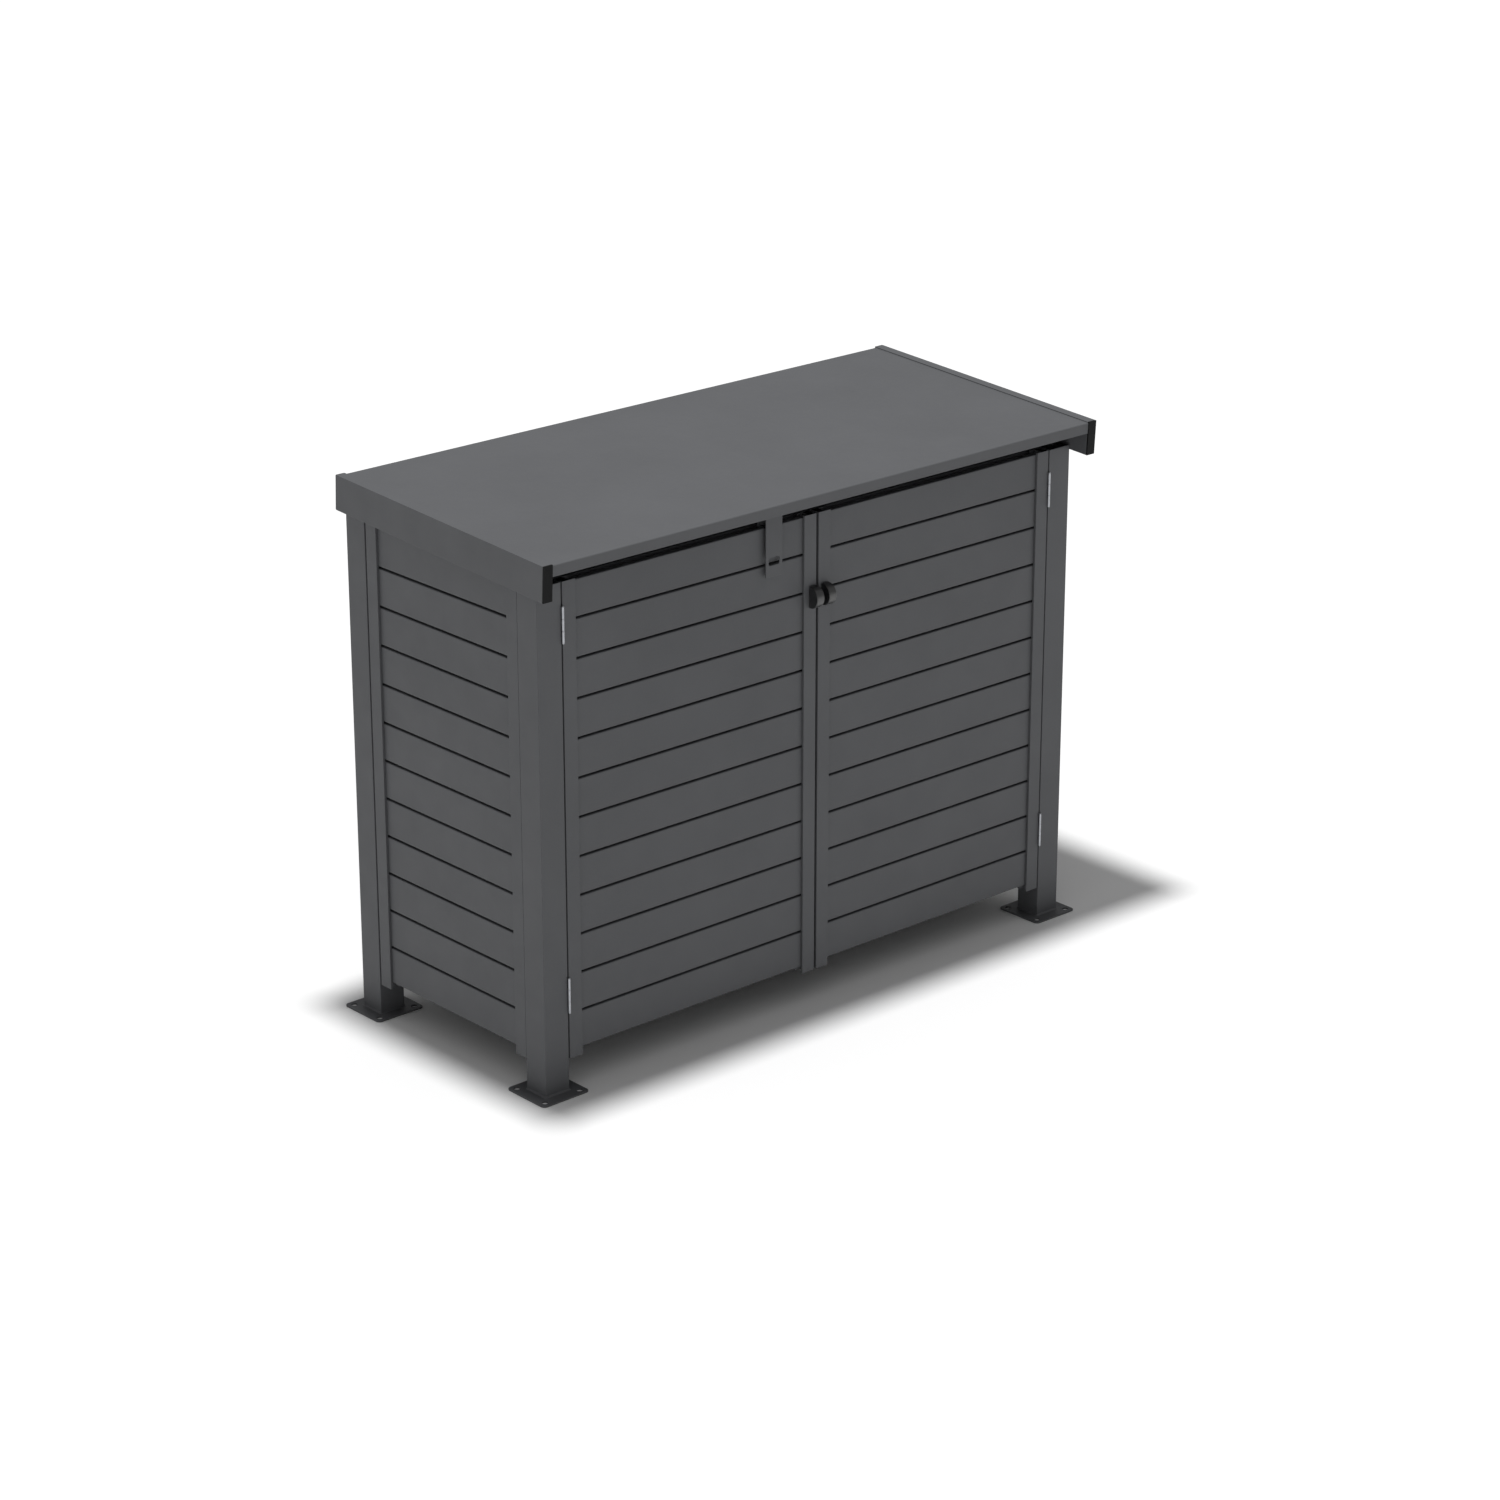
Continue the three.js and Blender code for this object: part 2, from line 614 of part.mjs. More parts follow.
function lidHingeOnFrame() {
  const group = new THREE.Group();
  group.position.set(0, LID_HINGE_Y, LID_HINGE_Z);
  const length = WIDTH - 2 * (POST.side + 2 * GAP);
  const leaf = hingeLeaf(PIANO, length, 0, -PIANO.barrel);
  const down = new THREE.Matrix4().makeBasis(Y_AXIS, Z_AXIS.clone().negate(), X_AXIS.clone().negate());
  leaf.applyMatrix4(down).translate(length / 2, 0, 0);
  addMesh(group, 'lid_hinge_frame_leaf', leaf, greyPowderCoat());
  const pin = alongX(cylinder(PIANO.pin, -length / 2, length / 2));
  addMesh(group, 'lid_hinge_pin', pin, bareSteel());
  return group;
}

// ---- The whole store ----

const store = new THREE.Group();
store.position.y = -MIDDLE_Y;
store.add(corners(), sidePanels(), backPanel(), topRails(), doors(), doorCatches(), lid(), lidHingeOnFrame());

export default store;
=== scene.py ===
"""Looks for a slatted aluminium store for wheeled bins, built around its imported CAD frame.

Metres, +Z up, front towards -Y, in the frame of the CAD. CAD nodes whose shape is right stay and get
rounded edges and a finish. Slats, bent sheet parts and grips are rebuilt here, and the fasteners,
plugs and welds are added.
"""

import json
import math

import bmesh
import bpy
from mathutils import Matrix, Vector

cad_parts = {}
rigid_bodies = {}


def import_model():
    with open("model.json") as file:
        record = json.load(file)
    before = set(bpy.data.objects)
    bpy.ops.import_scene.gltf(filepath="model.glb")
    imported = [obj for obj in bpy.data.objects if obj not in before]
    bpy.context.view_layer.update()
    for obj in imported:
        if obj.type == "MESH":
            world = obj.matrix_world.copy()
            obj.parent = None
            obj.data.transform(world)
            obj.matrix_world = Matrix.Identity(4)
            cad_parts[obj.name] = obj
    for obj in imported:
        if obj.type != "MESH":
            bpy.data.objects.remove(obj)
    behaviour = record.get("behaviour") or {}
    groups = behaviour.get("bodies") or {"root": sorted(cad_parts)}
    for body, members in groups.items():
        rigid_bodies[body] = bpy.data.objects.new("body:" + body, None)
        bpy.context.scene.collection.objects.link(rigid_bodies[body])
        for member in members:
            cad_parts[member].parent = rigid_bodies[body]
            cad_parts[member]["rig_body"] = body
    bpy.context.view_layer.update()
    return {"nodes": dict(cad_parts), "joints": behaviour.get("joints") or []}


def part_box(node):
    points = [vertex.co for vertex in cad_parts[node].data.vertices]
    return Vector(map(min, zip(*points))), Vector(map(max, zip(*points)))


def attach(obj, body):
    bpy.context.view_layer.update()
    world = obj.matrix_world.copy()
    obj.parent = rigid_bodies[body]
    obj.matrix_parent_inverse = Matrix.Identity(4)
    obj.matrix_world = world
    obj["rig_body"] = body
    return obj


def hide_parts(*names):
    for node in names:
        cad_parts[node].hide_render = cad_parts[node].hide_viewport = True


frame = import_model()

MM = 0.001
X = Vector((1, 0, 0))
Y = Vector((0, 1, 0))
Z = Vector((0, 0, 1))

# ---- Sizes, in metres ----

SLAT_COUNT = 12
SLAT_PITCH = 88.8 * MM
SLAT_HEIGHT = 84 * MM
SLAT_DEPTH = 16 * MM
SLAT_WALL = 1.5 * MM
SLAT_CORNER = 2.2 * MM
SLAT_INNER_CORNER = 0.5 * MM  # the least radius inside a slat
STRIP_WIDTH = 10 * MM
STRIP_CORNER = 0.5 * MM

STILE_WALL = 2 * MM
STILE_CHAMBER = 17 * MM  # inside width of the chamber beside the groove
PLUG_RIM = 1.2 * MM  # thickness of a plug's rim
PLUG_CORNER = 1.5 * MM
PLUG_EDGE = 0.4 * MM
CLEARANCE = 0.3 * MM

LID_SLOPE = math.radians(2.93)
LID_LENGTH = 708 * MM
LID_DROP = 2.5 * MM  # from the rails' top edges down to the sheet
LID_FLANGE = 27.5 * MM
LID_SHEET = 2 * MM
LID_LIP = 25 * MM
LID_RAIL_WIDTH = 24 * MM
LID_RAIL_HEIGHT = 80 * MM
LID_CAP = 4 * MM

HINGE_FACE = 0.3 * MM  # from a door hinge's axis to the faces of its leaves
SCREWS_PER_LEAF = 3
PIANO_FACE = 2.8 * MM  # from the lid hinge's axis to the outer faces of its leaves
PIANO_RIVET = 16 * MM  # from the lid hinge's axis to its rivets
PIANO_ALONG = 712.3 * MM  # of the lid hinge's axis, back along the lid
PIANO_DOWN = 31.5 * MM
RIVET_COUNT = 9
STIFFENER_BACKS = (111 * MM, 580 * MM)
RAIL_INSIDE = 784 * MM  # from the middle to the inner faces of the lid's rails
LID_END_PLUG = 1.5 * MM
LID_END_PLUG_EDGE = 0.5 * MM
WELD = 3 * MM  # leg of a weld bead's section
WELD_CORNER = 1.1 * MM
WELD_STEP = 2 * MM  # between the sections of a weld bead
WELD_SINK = 0.4 * MM
STRAP_THICKNESS = 3 * MM
STRAP_LEG = 60 * MM  # of the strap's leg behind the door
STRAP_EDGE = 0.5 * MM
STRAP_BEND = 3.5 * MM  # radius of its bends, at the middle of its thickness
STRAP_SLOT = (32 * MM, 18 * MM, 5 * MM)  # width, height and corner radius
STRAP_SLOT_UP = 35 * MM  # from the strap's lower end to the middle of its slot
STRAP_RIVETS_UP = 12 * MM  # from the end of the leg to its rivets
STRAP_RIVETS_APART = 26 * MM
SHEET_BEND = 2 * MM

SINK = 0.2 * MM  # how far the heads of fasteners reach into the face they stand on
SCREW_RADIUS = 3.2 * MM
SCREW_HEAD = 1.8 * MM
LEAF_SCREW_RADIUS = 3.4 * MM
LEAF_SCREW_HEAD = 0.24 * MM
LEAF_SCREW_DEPTH = 0.66  # share of a hinge leaf's width, from its knuckles
CATCH_SCREW_HEAD = 1.2 * MM
RIVET_RADIUS = 3 * MM
RIVET_HEAD = 1.1 * MM

GRIP_SCREWS_APART = 22 * MM
GRIP_EDGE = 2.6 * MM
GRIP_EDGE_STEPS = 5
GRIP_STEPS = 40  # around its half round
STRIKE_THICKNESS = 1.2 * MM
STRIKE_INSET = 1.5 * MM
STRIKE_EDGE = 0.3 * MM
STRIKE_BELOW = 13 * MM  # how far a strike plate reaches below its catch
POLE_HEIGHT = 2.2 * MM
POLES_APART = 7 * MM
POLE_END = 4 * MM  # from the end of a catch to its poles
POLE_DEPTH = 6 * MM
POLE_PROUD = 0.15 * MM
CATCH_SCREWS_APART = 30 * MM
BRACKET_LEG = 24 * MM
BRACKET_THICKNESS = 2 * MM
BRACKET_EDGE = 0.5 * MM
BRACKET_HEIGHT = 19 * MM
BRACKET_DOWN = 8 * MM  # from the lid rails' top edges to a bracket
BRACKET_SCREW = 0.62  # share of a bracket's leg
SPACER_RADIUS = 6.5 * MM
SPACER_BEVEL = 0.5 * MM
SPACER_HEIGHTS = (0.12, 0.5, 0.88)  # shares of the panel's height

FLOOR_REACH = 400  # half the floor's side, so that its edge is out of sight
FLOOR_GREYS = ((0.79, 0.79, 0.79, 1), (0.81, 0.81, 0.81, 1))
WORLD_STRENGTH = 0.35
LAMP_ENERGY = 39
LAMP_RADIUS = 0.3
LAMP_PLACE = (-0.6, -0.09, 7.0)
CAMERA_PLACE = (-5.63849, -6.40860, 3.74277)
CAMERA_AZIMUTH = math.radians(-41.755)
CAMERA_ELEVATION = math.radians(20.701)
CAMERA_LENS = 96.23  # in millimetres, on a sensor 36 wide
CAMERA_SENSOR = 36

# Rounding of the edges of each kind of CAD node: (ending of its name, radius).
EDGE_RADII = [
    ("base_plate", 0.8 * MM),
    ("_post", 1.1 * MM),
    ("post_plug", 0.5 * MM),
    ("lid_stop", 0.8 * MM),
    ("stile", 0.4 * MM),
    ("upright", 0.8 * MM),
    ("top_rail", 0.9 * MM),
    ("stiffener", 0.9 * MM),
    ("lid_left_rail", 0.9 * MM),
    ("lid_right_rail", 0.9 * MM),
    ("rail_cap", 0.7 * MM),
    ("catch", 1.0 * MM),
    ("leaf", 0.25 * MM),
    ("pin", 0.25 * MM),
]

MERGE_WITHIN = 0.01 * MM
FLAT_WITHIN = math.radians(0.5)
BEVEL_ABOVE = math.radians(40)
SHARP_ABOVE = math.radians(50)

# ---- Material helpers ----


def add_node(tree, kind, inputs=None, **settings):
    """Adds a shader node. An input given as a socket is linked, any other value is set."""
    made = tree.nodes.new(kind)
    for name, value in settings.items():
        setattr(made, name, value)
    for key, value in (inputs or {}).items():
        if isinstance(value, bpy.types.NodeSocket):
            tree.links.new(value, made.inputs[key])
        else:
            made.inputs[key].default_value = value
    return made


def new_material(name, metallic=0.0, specular=0.5):
    material = bpy.data.materials.new(name)
    material.use_nodes = True
    tree = material.node_tree
    tree.nodes.clear()
    shader = add_node(tree, "ShaderNodeBsdfPrincipled")
    shader.inputs["Metallic"].default_value = metallic
    shader.inputs["Specular IOR Level"].default_value = specular
    add_node(tree, "ShaderNodeOutputMaterial", {"Surface": shader.outputs["BSDF"]})
    return material, tree, shader


def noise(tree, size, detail=2.0, stretch=(1, 1, 1)):
    """A noise from 0 to 1 whose grains are about size metres across, fixed to the piece."""
    place = add_node(tree, "ShaderNodeTexCoord").outputs["Object"]
    mapped = add_node(tree, "ShaderNodeMapping", {"Vector": place, "Scale": stretch})
    inputs = {"Vector": mapped.outputs["Vector"], "Scale": 1 / size, "Detail": detail}
    return add_node(tree, "ShaderNodeTexNoise", inputs).outputs["Fac"]


def remap(tree, value, low, high, start=0.3, end=0.7):
    """Turns value, where it runs from start to end, into low to high."""
    inputs = {"Value": value, "From Min": start, "From Max": end, "To Min": low, "To Max": high}
    return add_node(tree, "ShaderNodeMapRange", inputs).outputs["Result"]


def mix(tree, share, first, second):
    """Mixes two colours, given as tuples or sockets."""
    made = add_node(tree, "ShaderNodeMix", {0: share, 6: first, 7: second}, data_type="RGBA")
    return made.outputs[2]


def multiply(tree, first, second):
    made = add_node(tree, "ShaderNodeMath", {0: first, 1: second}, operation="MULTIPLY")
    return made.outputs[0]


def bump(tree, height, depth, normal=None):
    inputs = {"Height": height, "Distance": depth}
    if normal is not None:
        inputs["Normal"] = normal
    return add_node(tree, "ShaderNodeBump", inputs).outputs["Normal"]


def edges(tree, radius):
    """1 along the edges of a piece and 0 on its flat faces, broken up by noise: a mask for wear and for
    a painted highlight along the edges.
    """
    rounded = add_node(tree, "ShaderNodeBevel", {"Radius": radius}, samples=6).outputs["Normal"]
    normal = add_node(tree, "ShaderNodeNewGeometry").outputs["Normal"]
    facing = add_node(tree, "ShaderNodeVectorMath", {0: rounded, 1: normal}, operation="DOT_PRODUCT")
    sharp = remap(tree, facing.outputs["Value"], 0.0, 1.0, start=0.99, end=0.8)
    broken = remap(tree, noise(tree, 14 * MM, detail=4), 0.25, 1.0, start=0.35, end=0.6)
    return multiply(tree, sharp, broken)


def grey(level):
    return (level, level * 1.025, level * 1.08, 1)


def coated(name, level, roughness, grain, edge_wear_and_highlight, specular):
    """A painted or moulded finish: mottled colour, uneven gloss, fine grain, and edges lightened partly
    as wear and partly as a painted highlight.
    """
    material, tree, shader = new_material(name, specular=specular)
    cloud = noise(tree, 0.22, detail=4)
    speck = noise(tree, grain, detail=2)
    peel = noise(tree, 5 * grain, detail=1)
    base = mix(tree, remap(tree, cloud, 0, 1), grey(level * 0.95), grey(level * 1.05))
    speckled = mix(tree, remap(tree, speck, 0, 0.35), base, grey(level * 1.35))
    # Edges mixed towards a pale grey: partly wear, partly a painted highlight where the rounded edges
    # would catch light.
    colour = mix(tree, multiply(tree, edges(tree, 1.3 * MM), edge_wear_and_highlight), speckled, grey(level * 2.6))
    rough = remap(tree, noise(tree, 0.05, detail=5), roughness - 0.05, roughness + 0.05)
    normal = bump(tree, speck, grain * 0.03, bump(tree, peel, grain * 0.05))
    tree.links.new(colour, shader.inputs["Base Color"])
    tree.links.new(rough, shader.inputs["Roughness"])
    tree.links.new(normal, shader.inputs["Normal"])
    return material


def satin_metal(name, level, roughness, stretch):
    """Bare metal with a drawn grain along one axis and slightly dulled patches."""
    material, tree, shader = new_material(name, metallic=1.0)
    grain = noise(tree, 0.7 * MM, detail=3, stretch=stretch)
    patch = noise(tree, 9 * MM, detail=4)
    base = mix(tree, remap(tree, patch, 0, 1), grey(level * 0.88), grey(level * 1.06))
    colour = mix(tree, remap(tree, grain, 0, 0.3), base, grey(level * 0.7))
    rough = remap(tree, grain, roughness - 0.07, roughness + 0.09)
    tree.links.new(colour, shader.inputs["Base Color"])
    tree.links.new(rough, shader.inputs["Roughness"])
    tree.links.new(bump(tree, grain, 0.015 * MM), shader.inputs["Normal"])
    return material


# The last share of each finish lightens its edges, partly as wear and partly as a painted highlight;
# the grips get the most.
FINISHES = {
    "powder_coat": coated("powder_coat_look", 0.09, 0.52, 0.9 * MM, edge_wear_and_highlight=0.35, specular=0.2),
    "hinge_steel": satin_metal("hinge_steel_look", 0.42, 0.36, stretch=(1, 1, 0.08)),
    "black_plastic": coated("black_plastic_look", 0.006, 0.5, 0.6 * MM, edge_wear_and_highlight=0.2, specular=0.1),
    "grip_plastic": coated("grip_plastic_look", 0.009, 0.36, 0.8 * MM, edge_wear_and_highlight=0.5, specular=1.0),
    "stop_rubber": coated("stop_rubber_look", 0.012, 0.78, 1.2 * MM, edge_wear_and_highlight=0.15, specular=0.2),
}
SCREW_METAL = satin_metal("zinc_look", 0.5, 0.36, stretch=(1, 1, 1))

# ---- Mesh helpers ----


def rounded_outline(corners, radius, segments=4):
    """A closed outline with every corner rounded: corners are 2-D vectors, anticlockwise."""
    outline = []
    for index, corner in enumerate(corners):
        before = (corners[index - 1] - corner).normalized()
        after = (corners[(index + 1) % len(corners)] - corner).normalized()
        outline += rounded_corner(corner, before, after, radius, segments)
    return outline


def rounded_corner(corner, before, after, radius, segments):
    """Points on an arc that replaces a corner whose two sides leave it towards before and after."""
    half = before.angle(after) / 2
    middle = corner + (before + after).normalized() * (radius / math.sin(half))
    start = corner + before * (radius / math.tan(half)) - middle
    end = corner + after * (radius / math.tan(half)) - middle
    points = []
    for step in range(segments + 1):
        share = step / segments
        swing = math.pi - 2 * half
        weight = math.sin(swing)
        a = math.sin((1 - share) * swing) / weight
        b = math.sin(share * swing) / weight
        points.append(middle + start * a + end * b)
    return points


def rectangle(x0, y0, x1, y1):
    return [Vector((x0, y0)), Vector((x1, y0)), Vector((x1, y1)), Vector((x0, y1))]


def bent_sheet(path, radius, thickness, segments=5):
    """The closed outline of a sheet bent along a path of 2-D points, its middle line."""
    line = [path[0]]
    for before, corner, after in zip(path, path[1:], path[2:]):
        first = (before - corner).normalized()
        second = (after - corner).normalized()
        line += rounded_corner(corner, first, second, radius, segments)
    line.append(path[-1])
    left = []
    right = []
    for index, point in enumerate(line):
        back = line[max(index - 1, 0)]
        ahead = line[min(index + 1, len(line) - 1)]
        along = (ahead - back).normalized()
        across = Vector((-along.y, along.x)) * (thickness / 2)
        left.append(point + across)
        right.append(point - across)
    return left + right[::-1]


def loft(mesh, loops, closed=False):
    """Joins loops of 3-D points, each of the same length, with faces. Ends are capped if not closed."""
    rings = [[mesh.verts.new(point) for point in loop] for loop in loops]
    count = len(rings[0])
    pairs = list(zip(rings, rings[1:]))
    if closed:
        pairs.append((rings[-1], rings[0]))
    for first, second in pairs:
        for index in range(count):
            after = (index + 1) % count
            mesh.faces.new([first[index], first[after], second[after], second[index]])
    if not closed:
        mesh.faces.new(rings[0][::-1])
        mesh.faces.new(rings[-1])


def basis(origin, u, v, w):
    """The matrix that puts (u, v, w) coordinates at origin."""
    turn = Matrix((u, v, w)).transposed().to_4x4()
    return Matrix.Translation(origin) @ turn


def prism(mesh, outline, place, length):
    """Extrudes a 2-D outline along its own third axis, then puts it at place."""
    loops = [[place @ Vector((p.x, p.y, w)) for p in outline] for w in (0, length)]
    loft(mesh, loops)


def block(mesh, low, high):
    """An axis-aligned box."""
    outline = rectangle(low[0], low[1], high[0], high[1])
    prism(mesh, outline, Matrix.Translation((0, 0, low[2])), high[2] - low[2])


def turned(mesh, rings, place, sides=24):
    """A turned piece about its own third axis. Each ring is (radius, height, corners), with corners
    None for a circle or the number of corners of a flat-sided socket."""
    loops = []
    for radius, height, corners in rings:
        loop = []
        for index in range(sides):
            angle = 2 * math.pi * index / sides
            reach = radius
            if corners:
                sector = 2 * math.pi / corners
                reach = radius * math.cos(sector / 2) / math.cos(angle % sector - sector / 2)
            loop.append(place @ Vector((reach * math.cos(angle), reach * math.sin(angle), height)))
        loops.append(loop)
    loft(mesh, loops)


def add_piece(name, mesh, slot, body, replaced=(), material=None, edge=0, smooth=35):
    """Turns a bmesh into a finished piece that rides on a body."""
    bmesh.ops.recalc_face_normals(mesh, faces=mesh.faces)
    data = bpy.data.meshes.new(name)
    mesh.to_mesh(data)
    mesh.free()
    data.materials.append(material or FINISHES[slot])
    for polygon in data.polygons:
        polygon.use_smooth = True
    if not edge:
        data.set_sharp_from_angle(angle=math.radians(smooth))
    piece = bpy.data.objects.new(name, data)
    bpy.context.scene.collection.objects.link(piece)
    if edge:
        round_edges(piece, edge)
    else:
        weigh_normals(piece)
    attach(piece, body)
    if replaced:
        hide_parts(*replaced)
    return piece


def bevel_edges(piece, radius, segments=2):
    bevel = piece.modifiers.new("edges", "BEVEL")
    bevel.width = radius
    bevel.segments = segments
    bevel.limit_method = "ANGLE"
    bevel.angle_limit = BEVEL_ABOVE


def round_edges(piece, radius, segments=2):
    bevel_edges(piece, radius, segments)
    weigh_normals(piece)


def weigh_normals(piece):
    """Keeps flat faces flat-looking beside small rounded ones."""
    normals = piece.modifiers.new("normals", "WEIGHTED_NORMAL")
    normals.keep_sharp = True


def clean_normals_group():
    """A node group that drops the imported normals and leaves sharp only what is really sharp."""
    group = bpy.data.node_groups.new("clean_normals", "GeometryNodeTree")
    group.interface.new_socket("Geometry", in_out="INPUT", socket_type="NodeSocketGeometry")
    group.interface.new_socket("Geometry", in_out="OUTPUT", socket_type="NodeSocketGeometry")
    start = group.nodes.new("NodeGroupInput").outputs[0]
    angle = group.nodes.new("GeometryNodeInputMeshEdgeAngle").outputs["Unsigned Angle"]
    sharp = add_node(group, "FunctionNodeCompare", {0: angle, 1: SHARP_ABOVE})
    cleaned = add_node(
        group,
        "GeometryNodeSetMeshNormal",
        {"Mesh": start, "Remove Custom": True, "Edge Sharpness": sharp.outputs[0]},
    )
    add_node(group, "NodeGroupOutput", {0: cleaned.outputs[0]})
    return group


CLEAN_NORMALS = clean_normals_group()


def finish_cad_node(node):
    """Gives a CAD node that stays its finish, clean faces and rounded edges."""
    slot = node.material_slots[0].material.name
    node.material_slots[0].material = FINISHES[slot]
    radius = next(size for ending, size in EDGE_RADII if node.name.endswith(ending))
    weld = node.modifiers.new("weld", "WELD")
    weld.merge_threshold = MERGE_WITHIN
    flat = node.modifiers.new("flat_faces", "DECIMATE")
    flat.decimate_type = "DISSOLVE"
    flat.angle_limit = FLAT_WITHIN
    bevel_edges(node, radius)
    clean = node.modifiers.new("clean_normals", "NODES")
    clean.node_group = CLEAN_NORMALS
    weigh_normals(node)


# ---- Slatted panels ----


def size_of(node):
    low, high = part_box(node)
    return high - low


def middle_of(node):
    low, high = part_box(node)
    return (low + high) / 2


def panel_place(slats):
    """(matrix of a panel's own axes, its length): along the slats, inwards through them, and up."""
    low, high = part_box(slats)
    size = high - low
    if size.x > size.y:
        along = X
        inward = Y if low.y < 0 else -Y
        corner = Vector((low.x, low.y if low.y < 0 else high.y, low.z))
        return basis(corner, along, inward, Z), size.x
    along = Y
    inward = X if low.x < 0 else -X
    corner = Vector((low.x if low.x < 0 else high.x, low.y, low.z))
    return basis(corner, along, inward, Z), size.y


def top_at(slats, place, u):
    """How high the top slat reaches above the panel's bottom, at its end nearest to u."""
    inverse = place.inverted()
    points = [inverse @ vertex.co for vertex in frame["nodes"][slats].data.vertices]
    return max(point.z for point in points if abs(point.x - u) < CLEARANCE)


def slat_loop(place, u, bottom, top, inset):
    """One end of a slat: a rounded rectangle on the panel's own inward and upward axes."""
    corners = rectangle(inset, bottom + inset, SLAT_DEPTH - inset, top - inset)
    outline = rounded_outline(corners, max(SLAT_CORNER - inset, SLAT_INNER_CORNER))
    return [place @ Vector((u, p.x, p.y)) for p in outline]


def hollow_slat(mesh, place, length, bottom, tops):
    """A hollow slat: out along the outer skin, back along the inner one."""
    ends = [(0, tops[0]), (length, tops[1])]
    outer = [slat_loop(place, u, bottom, top, 0) for u, top in ends]
    inner = [slat_loop(place, u, bottom, top, SLAT_WALL) for u, top in reversed(ends)]
    loft(mesh, outer + inner, closed=True)


def slatted_panel(slats, body):
    """The hollow slats of one panel, and the strips in its stiles that space them."""
    place, length = panel_place(slats)
    panel = slats.replace("_slats", "")
    for index in range(SLAT_COUNT):
        bottom = index * SLAT_PITCH
        tops = [bottom + SLAT_HEIGHT] * 2
        if index == SLAT_COUNT - 1:
            tops = [top_at(slats, place, u) for u in (0, length)]
        mesh = bmesh.new()
        hollow_slat(mesh, place, length, bottom, tops)
        add_piece(f"{panel}_slat_{index + 1:02d}", mesh, "powder_coat", body, [slats])
    strip_height = (SLAT_COUNT - 1) * SLAT_PITCH + SLAT_HEIGHT / 2
    size = size_of(slats)
    strip_back = min(size.x, size.y)
    for side, u in (("a", 0), ("b", length - STRIP_WIDTH)):
        mesh = bmesh.new()
        outline = rectangle(u, SLAT_DEPTH, u + STRIP_WIDTH, strip_back)
        prism(mesh, outline, place, strip_height)
        name = f"{panel}_spacer_strip_{side}"
        add_piece(name, mesh, "powder_coat", body, [slats], edge=STRIP_CORNER)


# ---- Fasteners, plugs and welds ----


def button_screw(mesh, point, outwards, radius=SCREW_RADIUS, height=SCREW_HEAD):
    """A button-head screw with a hexagon socket, standing on a face at point."""
    place = facing(point, outwards)
    socket = radius * 0.5
    rings = [
        (radius, -SINK, None),
        (radius, height * 0.18, None),
        (radius * 0.93, height * 0.55, None),
        (radius * 0.78, height * 0.85, None),
        (socket * 1.12, height, None),
        (socket, height * 0.97, 6),
        (socket, height * 0.3, 6),
        (socket * 0.3, height * 0.2, 6),
    ]
    turned(mesh, rings, place)


def rivet(mesh, point, outwards, radius=RIVET_RADIUS, height=RIVET_HEAD):
    """The domed head of a blind rivet, with the hollow that its mandrel leaves."""
    place = facing(point, outwards)
    rings = [
        (radius, -SINK, None),
        (radius, height * 0.25, None),
        (radius * 0.9, height * 0.6, None),
        (radius * 0.66, height * 0.93, None),
        (radius * 0.42, height, None),
        (radius * 0.36, height * 0.6, None),
        (radius * 0.1, height * 0.5, None),
    ]
    turned(mesh, rings, place, sides=20)


def facing(point, outwards):
    """A place at point whose third axis looks outwards."""
    side = Z if abs(outwards.z) < 0.9 else X
    u = side.cross(outwards).normalized()
    return basis(point, u, outwards.cross(u), outwards)


def body_of(node):
    return frame["nodes"][node]["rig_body"]


def stile_plugs(stile, slats):
    """A plug in each end of the closed chamber of a stile."""
    low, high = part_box(stile)
    size = high - low
    axis = 0 if size.x > size.y else 1
    away = 1 if middle_of(stile)[axis] > middle_of(slats)[axis] else -1
    outer = high[axis] if away > 0 else low[axis]
    centre = middle_of(stile)
    centre[axis] = outer - away * (STILE_WALL + STILE_CHAMBER / 2)
    along = X if axis == 0 else Y
    across = Y if axis == 0 else X
    width = (STILE_CHAMBER - 2 * CLEARANCE) / 2
    depth = (size[1 - axis] - 2 * STILE_WALL - 2 * CLEARANCE) / 2
    outline = rounded_outline(rectangle(-width, -depth, width, depth), PLUG_CORNER)
    mesh = bmesh.new()
    for z, up in ((low.z, -Z), (high.z, Z)):
        point = Vector((centre.x, centre.y, z)) - up * (PLUG_RIM + CLEARANCE)
        prism(mesh, outline, basis(point, along, across, up), PLUG_RIM)
    add_piece(f"{stile}_plugs", mesh, "black_plastic", body_of(stile), edge=PLUG_EDGE)


def hinge_axis(name):
    """A point on the axis of a joint."""
    return next(Vector(joint["pos_m"]) for joint in frame["joints"] if joint["name"] == name)


def hinge_screws(hand, level, leaf, side):
    """Flush screws in one leaf of a door hinge, on the side of it that faces the other leaf."""
    node = f"{hand}_door_{level}_hinge_{leaf}_leaf"
    low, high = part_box(node)
    axis = hinge_axis(f"{hand}_door_hinge").x
    mesh = bmesh.new()
    for index in range(SCREWS_PER_LEAF):
        height = low.z + (high.z - low.z) * (index + 0.5) / SCREWS_PER_LEAF
        depth = low.y + (high.y - low.y) * LEAF_SCREW_DEPTH
        point = Vector((axis + side * HINGE_FACE, depth, height))
        button_screw(mesh, point, -side * X, radius=LEAF_SCREW_RADIUS, height=LEAF_SCREW_HEAD)
    add_piece(f"{node}_screws", mesh, "hinge_steel", body_of(node), material=SCREW_METAL)


